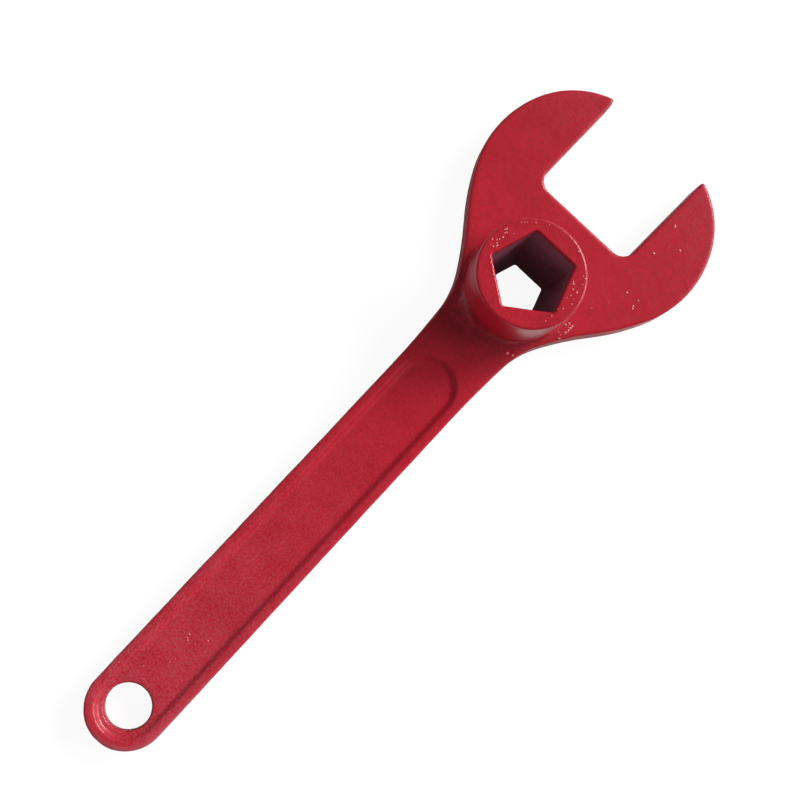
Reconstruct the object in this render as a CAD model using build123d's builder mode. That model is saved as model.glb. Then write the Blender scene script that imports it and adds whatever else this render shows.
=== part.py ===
"""Fire hydrant wrench: a flat cast body with an open jaw, and a pentagon socket welded into it.

Units are millimetres. The X axis runs along the handle towards the jaws, Z points out of the front
face (the socket side), and the origin is on the socket's axis, in the plane of the flat back face.
"""
from build123d import *
import math
import os

# Wrench body
plate_thickness = 13.0
handle_half_width = 18.3
handle_end_x = -252.4  # centre of the handle's round end
neck_start_x = -66.0  # where the straight handle edge starts to flare into the neck
# Each flank from the handle to the jaw tip, as tangent arcs: (radius, turn in degrees, + is outwards)
neck_arcs = [(425, 4.8), (47.5, 24.5), (150, 9.7)]
jaw_arcs = [(113, -13.0), (52.5, -52.6), (44, -60)]
head_lean = 0.4  # degrees that the cast head leans towards -Y
edge_radius = 1.0  # rounding of the plate's edges, front and back

# Open jaw
slot_floor_x = 44.5
slot_upper_y = 26.7  # at the slot's floor
slot_lower_y = -27.5  # at the slot's floor
slot_flare = 1.6  # degrees that the lower jaw face opens towards the tip
slot_corner_radius = 7.0
lip_start_x = 96.0  # short facet beside the upper tip
lip_flare = 11.0  # degrees that the facet opens
upper_tip_radius = 0.5
lower_tip_radius = 1.2

# Pocket in each face of the handle
rim_width = 4.2
pocket_depth = 2.0
pocket_wall_angle = 45.0  # degrees from square to the face
pocket_head_x = -62.0  # centre of the pocket's round end beside the neck

# Hanging hole
hang_hole_x = -251.9
hang_hole_radius = 10.2

# Pentagon socket
socket_height = 46.5
socket_radius = 24.8
socket_edge_radius = 1.0
spigot_radius = 20.0
pentagon_side = 23.0  # at the mouth
pentagon_back_scale = 0.73  # size at the back face over size at the mouth
pentagon_corner_radius = 1.2  # at the mouth
mouth_chamfer = 0.5
pentagon_vertex_angle = 36.0  # puts one flat towards the jaws

# Welds
front_weld_leg = 2.8
weld_toe = 0.3  # height at which the front weld's curve meets the plate and the socket's wall
back_weld_leg = 3.0


def edges_at(part, height):
    """The edges of a part whose middle lies at this height."""
    return part.edges().filter_by_position(Axis.Z, height - 0.01, height + 0.01)


def flank(side):
    """Draws the flank on the +Y side (1) or the -Y side (-1). Returns its straight start and its last arc."""
    straight = Line((handle_end_x, side * handle_half_width), (neck_start_x, side * handle_half_width))
    slow_arc, flare_arc, long_arc = neck_arcs
    leaning_arc = (flare_arc[0], flare_arc[1] - side * head_lean)
    edge = straight
    for radius, turn in [slow_arc, leaning_arc, long_arc] + jaw_arcs:
        edge = JernArc(start=edge @ 1, tangent=edge % 1, radius=radius, arc_size=side * turn)
    return straight, edge


def slot_face(start, depth, angle):
    """Draws a face of the jaw that reaches this far along X, at this angle."""
    return PolarLine(start, depth, angle, length_mode=LengthMode.HORIZONTAL)


def body_blank():
    """Outline of the body: round handle end, straight handle, flared neck and crescent head."""
    with BuildSketch() as blank:
        with BuildLine():
            upper_edge, upper_tip = flank(1)
            lower_edge, lower_tip = flank(-1)
            Line(upper_tip @ 1, lower_tip @ 1)
            ThreePointArc(upper_edge @ 0, (handle_end_x - handle_half_width, 0), lower_edge @ 0)
        make_face()
        # Open jaw: the upper face follows the head's lean and ends in a short lip, the lower one flares
        depth = upper_tip.bounding_box().max.X + 10 - slot_floor_x
        lip_depth = lip_start_x - slot_floor_x
        with BuildLine():
            upper = slot_face((slot_floor_x, slot_upper_y), lip_depth, -head_lean)
            lip = slot_face(upper @ 1, depth - lip_depth, lip_flare)
            lower = slot_face((slot_floor_x, slot_lower_y), depth, -head_lean - slot_flare)
            Line(lip @ 1, lower @ 1)
            Line(lower @ 0, upper @ 0)
        make_face(mode=Mode.SUBTRACT)
        floor_corners = blank.vertices().filter_by_position(Axis.X, slot_floor_x - 0.1, slot_floor_x + 0.1)
        fillet(floor_corners, radius=slot_corner_radius)
        for side, radius in ((1, upper_tip_radius), (-1, lower_tip_radius)):
            tip = blank.vertices().filter_by(lambda v: v.Y * side > 0).sort_by(Axis.X)[-1]
            fillet(tip, radius=radius)
    return blank.sketch


def make_wrench_body():
    """Plate with the open jaw, the neck, the pocketed handle and the seat for the socket."""
    with BuildPart() as wrench_body:
        add(body_blank())
        extrude(amount=plate_thickness)
        fillet(edges_at(wrench_body, 0) + edges_at(wrench_body, plate_thickness), radius=edge_radius)
        # A pocket in each face, with sloping walls, leaves a rim all round the handle
        pocket_length = pocket_head_x - handle_end_x
        pocket_centre = (handle_end_x + pocket_length / 2, 0)
        for face_plane in (Plane.XY.offset(plate_thickness), Plane.XY.rotated((180, 0, 0))):
            with BuildSketch(face_plane):
                with Locations(pocket_centre):
                    SlotCenterToCenter(pocket_length, 2 * (handle_half_width - rim_width))
            extrude(amount=-pocket_depth, taper=pocket_wall_angle, mode=Mode.SUBTRACT)
        with Locations((hang_hole_x, 0, 0)):
            Hole(radius=hang_hole_radius)
        # Seat for the socket's spigot, with a groove for the back weld
        Hole(radius=spigot_radius)
        seat_edge = edges_at(wrench_body, 0).filter_by(
            lambda e: e.geom_type == GeomType.CIRCLE and abs(e.radius - spigot_radius) < 0.01
        )
        chamfer(seat_edge, length=back_weld_leg)
    wrench_body.part.label = "wrench_body"
    export_step(wrench_body.part, "parts/wrench_body.step")


def make_socket_sleeve():
    """Tall round socket on a spigot, with a pentagon hole that narrows towards the back."""
    with BuildPart() as socket_sleeve:
        with BuildSketch():
            Circle(spigot_radius)
        extrude(amount=plate_thickness)
        with BuildSketch(Plane.XY.offset(plate_thickness)):
            Circle(socket_radius)
        extrude(amount=socket_height - plate_thickness)
        fillet(edges_at(socket_sleeve, socket_height), radius=socket_edge_radius)
        mouth_radius = pentagon_side / (2 * math.sin(math.pi / 5))
        for height, scale in ((0, pentagon_back_scale), (socket_height, 1)):
            with BuildSketch(Plane.XY.offset(height)) as pentagon:
                RegularPolygon(mouth_radius * scale, 5, rotation=pentagon_vertex_angle, align=None)
                fillet(pentagon.vertices(), radius=pentagon_corner_radius * scale)
        loft(mode=Mode.SUBTRACT)
        mouth_edges = edges_at(socket_sleeve, socket_height).filter_by(lambda e: e.length < pentagon_side)
        chamfer(mouth_edges, length=mouth_chamfer)
    socket_sleeve.part.label = "socket_sleeve"
    export_step(socket_sleeve.part, "parts/socket_sleeve.step")


def make_front_weld():
    """Hollow fillet weld ring between the plate's front face and the socket's wall."""
    wall = socket_radius
    outer = socket_radius + front_weld_leg
    top = plate_thickness + front_weld_leg
    with BuildPart() as front_weld:
        with BuildSketch(Plane.XZ):
            with BuildLine():
                sides = Polyline((wall + weld_toe, top), (wall, top), (wall, plate_thickness),
                                 (outer, plate_thickness), (outer, plate_thickness + weld_toe))
                RadiusArc(sides @ 1, sides @ 0, front_weld_leg - weld_toe)
            make_face()
        revolve(axis=Axis.Z)
    front_weld.part.label = "socket_weld_front"
    export_step(front_weld.part, "parts/socket_weld_front.step")


def make_back_weld():
    """Weld ring that fills the groove between the body and the spigot, flush with the back face."""
    with BuildPart() as back_weld:
        with BuildSketch(Plane.XZ):
            with BuildLine():
                Polyline((spigot_radius, 0), (spigot_radius + back_weld_leg, 0),
                         (spigot_radius, back_weld_leg), close=True)
            make_face()
        revolve(axis=Axis.Z)
    back_weld.part.label = "socket_weld_back"
    export_step(back_weld.part, "parts/socket_weld_back.step")


os.makedirs("parts", exist_ok=True)
make_wrench_body()
make_socket_sleeve()
make_front_weld()
make_back_weld()
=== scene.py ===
"""Fire hydrant wrench in red paint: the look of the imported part, in metres and in the part's own frame.

+X runs along the handle towards the jaws, +Z is out of the socket side, and the origin is on the socket's
axis in the plane of the flat back face.
"""

import math
import random

import bmesh
import bpy
import numpy as np
from mathutils import Matrix, Vector, noise
from mathutils.bvhtree import BVHTree


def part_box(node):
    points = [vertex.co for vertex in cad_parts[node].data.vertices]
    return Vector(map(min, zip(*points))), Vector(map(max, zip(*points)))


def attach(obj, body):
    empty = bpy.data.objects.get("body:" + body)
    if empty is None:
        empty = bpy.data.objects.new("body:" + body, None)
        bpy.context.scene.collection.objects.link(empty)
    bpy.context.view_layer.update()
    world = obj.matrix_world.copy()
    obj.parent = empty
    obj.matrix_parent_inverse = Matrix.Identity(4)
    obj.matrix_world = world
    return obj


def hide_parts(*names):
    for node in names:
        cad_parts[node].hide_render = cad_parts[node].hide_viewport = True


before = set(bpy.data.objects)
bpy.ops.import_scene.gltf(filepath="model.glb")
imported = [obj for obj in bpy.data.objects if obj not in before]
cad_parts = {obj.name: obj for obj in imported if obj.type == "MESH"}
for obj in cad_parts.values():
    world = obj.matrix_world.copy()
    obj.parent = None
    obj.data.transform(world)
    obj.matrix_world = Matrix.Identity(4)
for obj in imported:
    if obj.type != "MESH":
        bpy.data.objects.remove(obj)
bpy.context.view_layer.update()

MM = 0.001
BODY = "root"
LEVEL = 0.00001  # places this close in height are in one plane

# Places on the part, read from the frame
plate_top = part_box("wrench_body")[1].z
tail_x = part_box("wrench_body")[0].x
jaw_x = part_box("wrench_body")[1].x
socket_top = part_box("socket_sleeve")[1].z
socket_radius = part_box("socket_sleeve")[1].x
groove_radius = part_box("socket_weld_back")[1].x
handle_half_width = max(v.co.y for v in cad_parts["wrench_body"].data.vertices if v.co.x < tail_x + 0.1)
tail_centre = tail_x + handle_half_width
pocket_depth = 0.002
inside_radius = 0.0215  # between the corners of the pentagon hole and the socket's round edge

# Weld round the socket's foot
fillet_leg = 0.0028
wide_fillet_leg = 0.0095
wide_fillet_angle = math.radians(160)  # over the neck
tight_fillet_angle = math.radians(-118)
tight_fillet_loss = 0.0011
fillet_margin = 0.0012  # bare plate left between the fillet and the plate's edge
back_bead_width = 0.0028  # a little less than the groove's, which it overlaps at both sides
ripple_count = 72  # in the bead on the back

# View
camera_lens = 63.0  # on a sensor 36 wide
camera_turn = math.radians(46.95)  # the handle runs down to the left
camera_lean = math.radians(9.7)  # the camera leans towards the handle's end
camera_distance = 0.626
camera_aim = Vector((-0.0745, 0.0045, plate_top))

# Light. A strength is how bright a white surface gets: one that faces up, or for the side light one
# that faces the light.
key_lights = (  # strength, azimuth and elevation in degrees
    (0.52, -16, 33),
    (0.26, -48, 34),
)
key_angle = math.radians(24)
side_strength = 0.10
side_direction = Vector((-0.75, 0.63, 0.18))
side_angle = math.radians(40)
tail_light_strength = 0.07
tail_light_place = Vector((-0.85, -0.10, 0.46))
tail_light_size = 0.4
room_strength = 0.20

# Floor
floor_size = 30
floor_centre_x = -0.09
floor_height = -0.0006
bounce_height = -0.0008

# Colours
deep_red = (0.320, 0.0045, 0.0135)
bright_red = (0.500, 0.0090, 0.0270)
# Pale pink: the dust, and also the painted sheen along the handle and the painted reflection on the rim
dust_and_sheen_pink = (0.42, 0.130, 0.165)
# Near black: painted shade round the socket's foot
foot_shade_dark = (0.085, 0.004, 0.010)
# Dark, mottled: painted shade inside the socket
dark_socket_shade = (0.240, 0.082, 0.118)
pale_socket_shade = (0.33, 0.096, 0.138)
# Pale reds: painted highlights on the beads
bead_highlight_red = (0.56, 0.060, 0.070)
bead_highlight_pink = (0.78, 0.23, 0.23)


# ---------------------------------------------------------------- stage

def make_camera():
    """Nearly overhead, turned about its own axis and leaning so that the socket's near wall shows."""
    data = bpy.data.cameras.new("camera")
    data.lens = camera_lens
    camera = bpy.data.objects.new("camera", data)
    bpy.context.scene.collection.objects.link(camera)
    lean = Matrix.Rotation(-camera_lean, 3, "Y")
    turn = Matrix.Rotation(-camera_turn, 3, "Z")
    place = camera_aim + lean @ Vector((0, 0, camera_distance))
    camera.matrix_world = Matrix.Translation(place) @ (lean @ turn).to_4x4()
    bpy.context.scene.camera = camera


def make_plane(name, height, albedo, glow):
    """Large white plane just under the wrench."""
    bpy.ops.mesh.primitive_plane_add(size=floor_size, location=(floor_centre_x, 0, height))
    plane = bpy.context.object
    plane.name = name
    material = bpy.data.materials.new(name)
    material.use_nodes = True
    shader = material.node_tree.nodes["Principled BSDF"]
    shader.inputs["Base Color"].default_value = (albedo, albedo, albedo, 1)
    shader.inputs["Roughness"].default_value = 0.9
    shader.inputs["Specular IOR Level"].default_value = 0.0
    shader.inputs["Emission Color"].default_value = (1, 1, 1, 1)
    shader.inputs["Emission Strength"].default_value = glow
    plane.data.materials.append(material)
    return plane


def make_floor():
    """A white table: one plane is what the camera sees, and the other gives the light that it throws back."""
    seen = make_plane("floor", floor_height, 0.10, 0.93)
    seen.visible_diffuse = False
    seen.visible_glossy = False
    seen.visible_transmission = False
    seen.visible_shadow = False
    bounce = make_plane("floor_bounce", bounce_height, 0.8, 0.0)
    bounce.visible_camera = False


def light(kind, name, place, aim=Vector()):
    lamp = bpy.data.objects.new(name, bpy.data.lights.new(name, kind))
    bpy.context.scene.collection.objects.link(lamp)
    lamp.location = place
    lamp.rotation_euler = (aim - place).to_track_quat("-Z", "Y").to_euler()
    return lamp


def make_keys():
    """Two wide soft suns from the jaws' side."""
    for i, (strength, azimuth, elevation) in enumerate(key_lights):
        rise, turn = math.radians(elevation), math.radians(azimuth)
        direction = Vector((math.cos(rise) * math.cos(turn), math.cos(rise) * math.sin(turn), math.sin(rise)))
        key = light("SUN", f"key_{i}", direction * 2)
        key.data.angle = key_angle
        key.data.energy = strength * math.pi / direction.z


def make_fill():
    """A weak low light from the handle's side, and one over the handle's end. Neither makes highlights."""
    side = light("SUN", "side", side_direction)
    side.data.angle = side_angle
    side.data.energy = side_strength * math.pi
    side.visible_glossy = False
    aim = Vector((tail_x + 0.02, 0, plate_top))
    reach = tail_light_place - aim
    over_tail = light("AREA", "over_tail", tail_light_place, aim)
    over_tail.data.shape = "DISK"
    over_tail.data.size = tail_light_size
    over_tail.data.energy = tail_light_strength * math.pi ** 2 * reach.length ** 3 / reach.z
    over_tail.visible_glossy = False


def make_room():
    """A dim, even room."""
    world = bpy.data.worlds.new("room")
    world.use_nodes = True
    background = world.node_tree.nodes["Background"]
    background.inputs["Color"].default_value = (1, 1, 1, 1)
    background.inputs["Strength"].default_value = room_strength
    bpy.context.scene.world = world
    bpy.context.scene.view_settings.view_transform = "Standard"


# ---------------------------------------------------------------- materials

class Nodes:
    """Short names for building a node tree."""

    def __init__(self, name):
        self.material = bpy.data.materials.new(name)
        self.material.use_nodes = True
        self.tree = self.material.node_tree
        self.shader = self.tree.nodes["Principled BSDF"]
        self.place = self.add("ShaderNodeTexCoord").outputs["Object"]

    def add(self, kind, **settings):
        node = self.tree.nodes.new(kind)
        for key, value in settings.items():
            setattr(node, key, value)
        return node

    def link(self, source, target):
        self.tree.links.new(source, target)

    def surface(self, name, source):
        """Drives one of the shader's sockets."""
        self.link(source, self.shader.inputs[name])

    def axes(self):
        node = self.add("ShaderNodeSeparateXYZ")
        self.link(self.place, node.inputs[0])
        return node.outputs[0], node.outputs[1], node.outputs[2]

    def noise(self, size, detail=2.0, roughness=0.5):
        """Noise with features about this many metres across."""
        node = self.add("ShaderNodeTexNoise")
        node.inputs["Scale"].default_value = 1 / size
        node.inputs["Detail"].default_value = detail
        node.inputs["Roughness"].default_value = roughness
        self.link(self.place, node.inputs["Vector"])
        return node.outputs["Fac"]

    def remap(self, value, low, high, to_low=0.0, to_high=1.0):
        """Takes low to to_low and high to to_high, and holds the value beyond them."""
        node = self.add("ShaderNodeMapRange")
        self.link(value, node.inputs["Value"])
        node.inputs["From Min"].default_value = low
        node.inputs["From Max"].default_value = high
        node.inputs["To Min"].default_value = to_low
        node.inputs["To Max"].default_value = to_high
        return node.outputs["Result"]

    def math(self, operation, a, b=0):
        node = self.add("ShaderNodeMath", operation=operation)
        for socket, value in zip(node.inputs, (a, b)):
            if isinstance(value, (int, float)):
                socket.default_value = value
            else:
                self.link(value, socket)
        return node.outputs[0]

    def plus(self, a, b):
        return self.math("ADD", a, b)

    def times(self, a, b):
        return self.math("MULTIPLY", a, b)

    def length(self, a, b):
        """Length of the vector with these two components."""
        return self.math("SQRT", self.plus(self.times(a, a), self.times(b, b)))

    def mix(self, factor, a, b):
        """Colour from a to b. Each is a colour or a socket."""
        node = self.add("ShaderNodeMix", data_type="RGBA")
        self.link(factor, node.inputs["Factor"])
        for socket, value in ((node.inputs[6], a), (node.inputs[7], b)):
            if isinstance(value, tuple):
                socket.default_value = (*value, 1)
            else:
                self.link(value, socket)
        return node.outputs[2]

    def bump(self, height, distance, below=None):
        """Bump of this many metres, over the bump below it."""
        node = self.add("ShaderNodeBump")
        node.inputs["Distance"].default_value = distance
        self.link(height, node.inputs["Height"])
        if below is not None:
            self.link(below, node.inputs["Normal"])
        return node.outputs["Normal"]


def uneven_red(n, patch_size):
    """Red in broad patches with a fine grain over them. Returns the colour and the grain."""
    patches = n.remap(n.noise(patch_size, 3), 0.35, 0.65)
    grain = n.remap(n.noise(0.0014, 3, 0.6), 0.36, 0.64)
    blend = n.plus(n.plus(n.times(patches, 0.3), n.times(grain, 0.5)), 0.1)
    return n.mix(blend, deep_red, bright_red), grain


def paint_skin(n, coat, coat_roughness):
    """Orange peel with a finer grain on it, under a thin clear coat."""
    peel = n.bump(n.noise(0.0035, 2), 0.00008)
    n.surface("Normal", n.bump(n.noise(0.0008, 3, 0.6), 0.00004, below=peel))
    n.shader.inputs["Specular IOR Level"].default_value = 0.22
    n.shader.inputs["Coat Weight"].default_value = coat
    n.shader.inputs["Coat Roughness"].default_value = coat_roughness


def dust_and_sheen(n, x):
    """Pale dust specks, and a painted sheen as a pale haze: more and more along the handle, less round its
    end, and some on the jaws.
    """
    along = n.remap(x, -0.08, tail_x + 0.02, 0.10, 1.0)
    along = n.times(along, n.remap(x, tail_x + 0.004, tail_x + 0.016, 0.45, 1.0))
    along = n.math("MAXIMUM", along, n.remap(x, 0.04, jaw_x, 0.0, 0.4))
    specks = n.remap(n.noise(0.0011, 3, 0.7), 0.42, 0.64)
    # The haze is painted sheen, not dust
    sheen_haze = n.remap(n.noise(0.012, 3), 0.35, 0.75, 0.0, 0.14)
    return n.times(along, n.plus(n.times(specks, 0.36), sheen_haze))


def rim_painted_reflection(n, x, y):
    """Painted reflection of the lit floor: the rim round the handle's end made paler, mostly on the -Y side.
    """
    past = n.math("MINIMUM", n.math("SUBTRACT", x, tail_centre), 0.0)
    from_middle = n.length(past, y)
    edge = n.remap(from_middle, handle_half_width - 0.0034, handle_half_width - 0.0006)
    rim_reflection = n.times(edge, n.remap(x, tail_centre + 0.06, tail_centre - 0.004))
    rim_reflection = n.times(rim_reflection, n.remap(y, 0.010, -0.006, 0.25, 1.0))
    return n.times(rim_reflection, n.remap(n.noise(0.004, 4, 0.6), 0.3, 0.7, 0.3, 0.72))


def foot_painted_shade(n, x, y):
    """Painted shade in the weld round the socket's foot, on the handle's side where the socket's shadow
    falls, broken up by noise.
    """
    foot = n.times(n.remap(n.length(x, y), 0.046, 0.027), n.remap(x, 0.004, -0.014))
    return n.times(foot, n.remap(n.noise(0.0022, 4, 0.65), 0.35, 0.6, 0.05, 0.58))


def red_paint(name, dust_and_painted_light=True):
    """Semi-gloss red paint over a cast surface. With the flag set it also has pale dust specks, a painted
    sheen along the handle, a painted reflection on the rim round the handle's end and painted shade round the
    socket's foot.
    """
    n = Nodes(name)
    colour, grain = uneven_red(n, 0.024)
    if dust_and_painted_light:
        x, y, _ = n.axes()
        # Paler with the dust, the painted sheen and the rim's painted reflection
        colour = n.mix(n.math("MAXIMUM", dust_and_sheen(n, x), rim_painted_reflection(n, x, y)), colour, dust_and_sheen_pink)
        # Darker with painted shade at the socket's foot
        colour = n.mix(foot_painted_shade(n, x, y), colour, foot_shade_dark)
    n.surface("Base Color", colour)
    n.surface("Roughness", n.remap(grain, 0, 1, 0.44, 0.34))
    paint_skin(n, coat=0.2, coat_roughness=0.1)
    return n.material


def socket_paint():
    """The same paint outside; inside the socket, from a little below the mouth, the colour is dark and
    mottled: painted shade.
    """
    n = Nodes("socket_paint")
    x, y, z = n.axes()
    colour = uneven_red(n, 0.015)[0]
    inside = n.remap(n.length(x, y), inside_radius + 0.0004, inside_radius - 0.0004)
    ragged = n.plus(z, n.times(n.noise(0.006, 3), 0.0016))
    deep = n.remap(ragged, socket_top - 0.0001, socket_top - 0.0022)
    above_back = n.remap(z, 0.0003, 0.0012)
    # Painted shade inside the socket, deepening below the mouth
    dark = n.times(n.times(inside, deep), above_back)
    socket_shade = n.mix(n.remap(n.noise(0.004, 4, 0.6), 0.3, 0.7), dark_socket_shade, pale_socket_shade)
    n.surface("Base Color", n.mix(dark, colour, socket_shade))
    n.surface("Roughness", n.remap(dark, 0, 1, 0.38, 0.62))
    paint_skin(n, coat=0.35, coat_roughness=0.16)
    return n.material


def bead_highlight_paint():
    """Glossy paint on the beads, paler than the rest: a painted highlight on them."""
    n = Nodes("bead_highlight_paint")
    n.surface("Base Color", n.mix(n.remap(n.noise(0.003, 2), 0.35, 0.65), bead_highlight_red, bead_highlight_pink))
    n.surface("Roughness", n.remap(n.noise(0.001, 2), 0.3, 0.7, 0.2, 0.4))
    n.shader.inputs["Coat Weight"].default_value = 0.6
    n.shader.inputs["Coat Roughness"].default_value = 0.12
    return n.material


# ---------------------------------------------------------------- pieces

def show(piece, slot, material, *nodes):
    """The piece rides on the wrench, stands for these CAD nodes and takes this finish."""
    piece.data.materials.clear()
    piece.data.materials.append(material)
    piece.data.polygons.foreach_set("use_smooth", [True] * len(piece.data.polygons))
    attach(piece, BODY)
    if nodes:
        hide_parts(*nodes)


def new_piece(name, mesh):
    piece = bpy.data.objects.new(name, mesh)
    bpy.context.scene.collection.objects.link(piece)
    return piece


def cast_copy(node, name, voxel, smoothing, melt_in=None):
    """A copy of a CAD node's shape as an even mesh, with its edges softened like a painted casting.

    A mesh to melt in becomes one skin with the shape.
    """
    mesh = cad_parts[node].data.copy()
    work = bmesh.new()
    work.from_mesh(mesh)
    bmesh.ops.remove_doubles(work, verts=work.verts, dist=0.000002)
    if melt_in is not None:
        work.from_mesh(melt_in)
    work.to_mesh(mesh)
    work.free()
    piece = new_piece(name, mesh)
    remesh = piece.modifiers.new("even", "REMESH")
    remesh.mode = "VOXEL"
    remesh.voxel_size = voxel
    smooth = piece.modifiers.new("soften", "SMOOTH")
    smooth.factor = 0.5
    smooth.iterations = smoothing
    even = bpy.data.meshes.new_from_object(piece.evaluated_get(bpy.context.evaluated_depsgraph_get()))
    piece.modifiers.clear()
    piece.data = even
    return piece


def displace(piece, height):
    """Moves each vertex along its normal by height(place), in metres."""
    mesh = piece.data
    count = len(mesh.vertices)
    places, normals = np.empty(count * 3), np.empty(count * 3)
    mesh.vertices.foreach_get("co", places)
    mesh.vertex_normals.foreach_get("vector", normals)
    places, normals = places.reshape(-1, 3), normals.reshape(-1, 3)
    heights = np.array([height(Vector(place)) for place in places])
    mesh.vertices.foreach_set("co", (places + normals * heights[:, None]).ravel())
    mesh.update()


def waves(place, *layers):
    """Sum of noise layers, each (size, height) in metres."""
    return sum(height * noise.noise(place / size + Vector((7.3, 1.9, 4.4))) for size, height in layers)


def body_surface(place):
    """Sand-cast skin: slow waviness, and a grain that is coarser along the handle."""
    handle = min(1.0, max(0.0, (-0.03 - place.x) / 0.06))
    grain = 0.6 + 0.9 * handle
    return waves(place, (0.028, 0.00010), (0.009, 0.00006 * grain), (0.0032, 0.000035 * grain),
                 (0.0017, 0.000022 * grain))


def socket_surface(place):
    """Smoother than the body, and a little uneven."""
    return waves(place, (0.016, 0.00012), (0.006, 0.00005), (0.0025, 0.00003))


def swept_ring(name, turns, profile):
    """Closed ring round the socket's axis. profile(angle, around) gives its (radius, height) corners."""
    mesh = bpy.data.meshes.new(name)
    work = bmesh.new()
    rings = []
    for i in range(turns):
        angle = 2 * math.pi * i / turns
        around = Vector((math.cos(angle), math.sin(angle), 0))
        corners = profile(angle, around)
        rings.append([work.verts.new(around * radius + Vector((0, 0, z))) for radius, z in corners])
    for ring, following in zip(rings, rings[1:] + rings[:1]):
        for k in range(len(ring)):
            after = (k + 1) % len(ring)
            work.faces.new((ring[k], ring[after], following[after], following[k]))
    bmesh.ops.recalc_face_normals(work, faces=work.faces)
    work.to_mesh(mesh)
    work.free()
    return mesh


def room_round_socket():
    """How far a fillet may reach from the socket's wall before the plate's edge, for any angle."""
    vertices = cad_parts["wrench_body"].data.vertices
    places = np.array([v.co for v in vertices if v.co.z > plate_top - LEVEL])
    reach = np.hypot(places[:, 0], places[:, 1])
    outline = (reach > socket_radius) & (places[:, 0] > -0.045)  # leaves out the seat and the handle
    angles = np.arctan2(places[outline, 1], places[outline, 0]) % (2 * math.pi)
    order = np.argsort(angles)
    angles, reach = angles[order], reach[outline][order]

    def room(angle):
        return float(np.interp(angle, angles, reach, period=2 * math.pi)) - socket_radius - fillet_margin
    return room


def front_fillet():
    """Hollow fillet round the socket's foot: narrow at the sides, wide where it runs out over the neck."""
    steps = 14
    room = room_round_socket()
    sunk = 0.0004  # how far it reaches into the plate and the socket
    tuck = 0.00015  # how far its curve starts inside the socket's wall

    def profile(angle, around):
        over_neck = max(0.0, math.cos(angle - wide_fillet_angle)) ** 2
        beside_neck = max(0.0, math.cos(angle - tight_fillet_angle)) ** 2
        lump = 0.00022 * noise.noise(around * 5) + 0.00010 * noise.noise(around * 16)
        leg = fillet_leg + (wide_fillet_leg - fillet_leg) * over_neck - tight_fillet_loss * beside_neck
        leg = min(leg, room(angle)) + lump
        corners = [(socket_radius - sunk, plate_top - sunk), (socket_radius + leg, plate_top - sunk)]
        for k in range(steps + 1):
            bend = math.pi / 2 * k / steps
            out = (leg + tuck) * (1 - math.sin(bend)) - tuck
            corners.append((socket_radius + out, plate_top + leg * (1 - math.cos(bend))))
        corners.append((socket_radius - sunk, plate_top + leg))
        return corners
    return swept_ring("front_fillet", 360, profile)


def make_back_bead():
    """Weld bead laid in the groove on the back, crest level with the back face, with overlapping ripples."""
    steps = 12
    depth = 0.0016  # of its root in the groove
    overlap = 0.0003
    inner_radius = groove_radius - back_bead_width
    middle, half = (groove_radius + inner_radius) / 2, (groove_radius - inner_radius) / 2 + overlap

    def profile(angle, around):
        corners = []
        for k in range(steps + 1):
            across = -1 + 2 * k / steps
            wander = 0.8 * noise.noise(around * 9)
            ripple = 0.5 + 0.5 * math.cos(ripple_count * angle + 1.6 * across ** 2 + wander)
            crown = 0.00055 * across ** 2 + 0.00022 * ripple * (1 - across ** 2)
            corners.append((middle + half * across, crown))
        corners.append((groove_radius - 0.0004, depth))
        corners.append((inner_radius - overlap, depth))
        return corners
    return new_piece("back_bead", swept_ring("back_bead", 480, profile))


def surface_of(node):
    """A tree of a CAD node's faces, for finding the surface under a place."""
    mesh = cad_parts[node].data
    return BVHTree.FromPolygons([v.co for v in mesh.vertices], [tuple(p.vertices) for p in mesh.polygons])


def rests(surface, place, margin):
    """Whether the surface is level with this place, both there and this far to each side."""
    start_above, tolerance = 0.005, 0.0002
    for x, y in ((0, 0), (margin, 0), (-margin, 0), (0, margin), (0, -margin)):
        hit = surface.ray_cast(place + Vector((x, y, start_above)), Vector((0, 0, -1)))[0]
        if hit is None or abs(hit.z - place.z) > tolerance:
            return False
    return True


def mouth_flat():
    """Distance from the socket's axis to a flat of its mouth. One flat faces the jaws."""
    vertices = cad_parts["socket_sleeve"].data.vertices
    return max(v.co.x for v in vertices if v.co.z > socket_top - LEVEL and v.co.xy.length < inside_radius)


def bead_mesh(beads, chance):
    """Small flattened beads, each given as (place, radius)."""
    mesh = bpy.data.meshes.new("spatter")
    work = bmesh.new()
    for place, size in beads:
        made = bmesh.ops.create_icosphere(work, subdivisions=2, radius=size)["verts"]
        stretch = chance.uniform(0.75, 1.35)
        turn = Matrix.Rotation(chance.uniform(0, math.pi), 3, "Z")
        for vert in made:
            vert.co = turn @ Vector((vert.co.x * stretch, vert.co.y, vert.co.z * 0.45))
            vert.co += place + Vector((0, 0, 0.12 * size))
    work.to_mesh(mesh)
    work.free()
    return mesh


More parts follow.
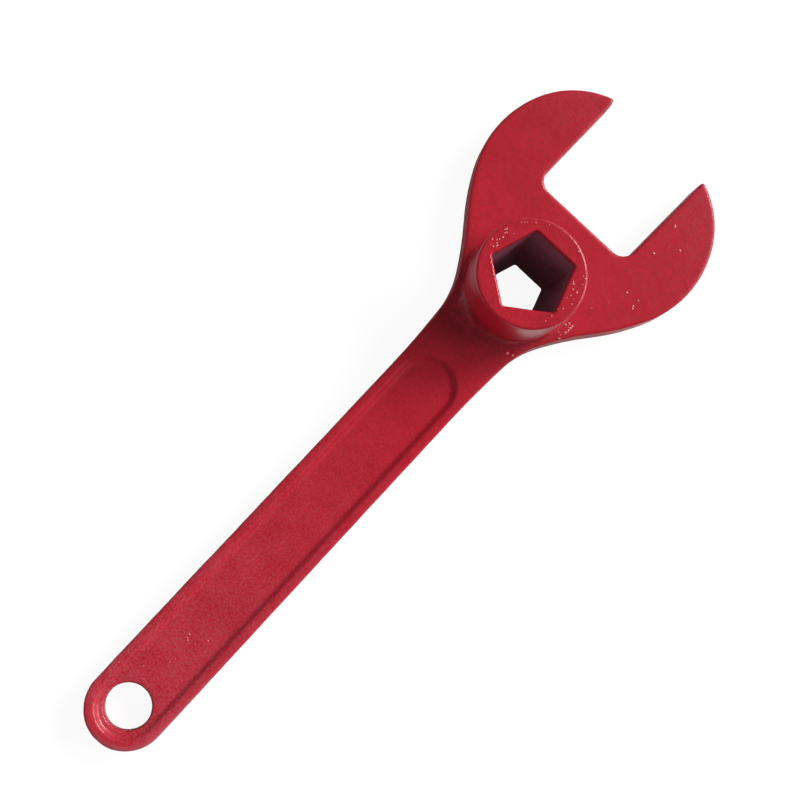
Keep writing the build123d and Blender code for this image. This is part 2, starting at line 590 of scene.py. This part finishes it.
def make_spatter():
    """Weld spatter and drips under the paint, strewn over plain regions. Lengths here are millimetres."""
    chance = random.Random(4)
    plate, barrel = surface_of("wrench_body"), surface_of("socket_sleeve")
    pocket_floor = plate_top - pocket_depth
    foot, tail, side, flat = socket_radius / MM, tail_x / MM, handle_half_width / MM, mouth_flat() / MM
    beads = []  # (place, radius) in metres

    def bead(surface, x, y, z, sizes, spare=1.0):
        """Adds a bead if the surface is level under it, out to this share of its radius."""
        size = chance.uniform(*sizes) * MM
        place = Vector((x * MM, y * MM, z))
        if rests(surface, place, spare * size):
            beads.append((place, size))

    def round_axis(count, surface, angles, reach, z, sizes):
        for i in range(count):
            angle, distance = math.radians(chance.uniform(*angles)), chance.uniform(*reach)
            bead(surface, distance * math.cos(angle), distance * math.sin(angle), z, sizes)

    def over_box(count, along, across, z, sizes):
        for i in range(count):
            bead(plate, chance.uniform(*along), chance.uniform(*across), z, sizes)

    over_box(8, (22, 78), (-46, -31), plate_top, (0.45, 0.68))  # on the lower jaw
    round_axis(3, plate, (-158, -134), (foot + 5.2, foot + 6.7), plate_top, (0.45, 0.6))  # on the neck
    over_box(9, (tail + 24, tail + 62), (-10, 11), pocket_floor, (0.25, 0.42))  # near the hanging hole
    for i in range(16):  # a loose cluster further along the pocket
        bead(plate, chance.gauss(tail + 105, 12), chance.gauss(2, 4), pocket_floor, (0.10, 0.21))
    over_box(9, (tail + 21, tail + 39), (side - 2.9, side - 1.2), plate_top, (0.15, 0.3))  # on the rim
    round_axis(24, plate, (-106, -80), (foot + 2, foot + 5.7), plate_top, (0.25, 0.55))  # at the foot
    round_axis(5, plate, (-122, -106), (foot + 3.4, foot + 5.2), plate_top, (0.2, 0.4))
    round_axis(3, plate, (-66, -38), (foot + 6.2, foot + 21), plate_top, (0.18, 0.33))
    round_axis(15, barrel, (62, 102), (foot - 6, foot - 1.8), socket_top, (0.22, 0.5))  # round the mouth
    round_axis(12, barrel, (-124, -56), (foot - 7, foot - 3), socket_top, (0.22, 0.48))
    round_axis(9, barrel, (-60, 60), (foot - 2.5, foot - 1.4), socket_top, (0.2, 0.45))
    flat_turn = 2 * 72  # the second flat round from the one that faces the jaws
    for i in range(14):  # along part of that edge of the mouth
        turn = chance.uniform(-33, -6)
        distance = flat / math.cos(math.radians(turn)) + chance.uniform(0.05, 0.6)
        angle = math.radians(flat_turn + turn)
        bead(barrel, distance * math.cos(angle), distance * math.sin(angle), socket_top, (0.25, 0.5), spare=0)
    return new_piece("spatter", bead_mesh(beads, chance))


# ---------------------------------------------------------------- scene

make_camera()
make_floor()
make_keys()
make_fill()
make_room()

body = cast_copy("wrench_body", "cast_body", 0.00075, 3, melt_in=front_fillet())
displace(body, body_surface)
show(body, "body_paint", red_paint("body_paint"), "wrench_body", "socket_weld_front")

socket = cast_copy("socket_sleeve", "cast_socket", 0.0005, 1)
displace(socket, socket_surface)
show(socket, "socket_paint", socket_paint(), "socket_sleeve")

show(make_back_bead(), "weld_paint", red_paint("weld_paint", dust_and_painted_light=False), "socket_weld_back")
show(make_spatter(), "weld_paint", bead_highlight_paint())
